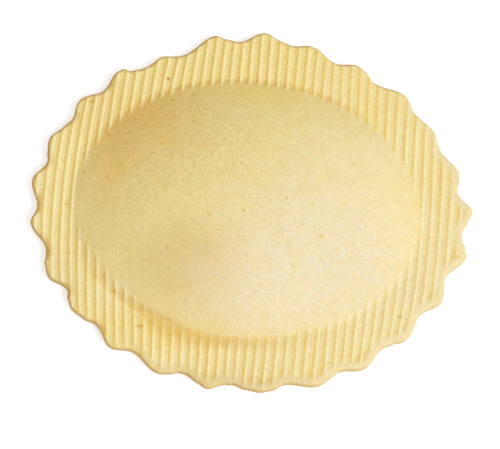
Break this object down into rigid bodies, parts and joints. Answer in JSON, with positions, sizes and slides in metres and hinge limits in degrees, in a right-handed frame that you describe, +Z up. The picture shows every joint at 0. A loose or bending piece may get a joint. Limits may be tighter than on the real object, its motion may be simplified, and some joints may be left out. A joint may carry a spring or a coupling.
{
  "type": "stuffed pasta",
  "caption": "Oval stuffed pasta with a smooth domed centre, a ribbed rim and a scalloped edge, made of sheets of dough sealed round a filling.",
  "frame": {"origin": "middle of the oval, on the flat underside", "axes": "+X along the oval, +Y across it and along the ribs, +Z up out of the dome"},
  "size_m": [0.0701, 0.0587, 0.011],
  "materials": {
    "dough": "matte",
    "filling": "matte"
  },
  "bodies": {
    "root": {"top_sheet": "dough", "bottom_sheet": "dough", "filling": "filling"}
  },
  "joints": []
}
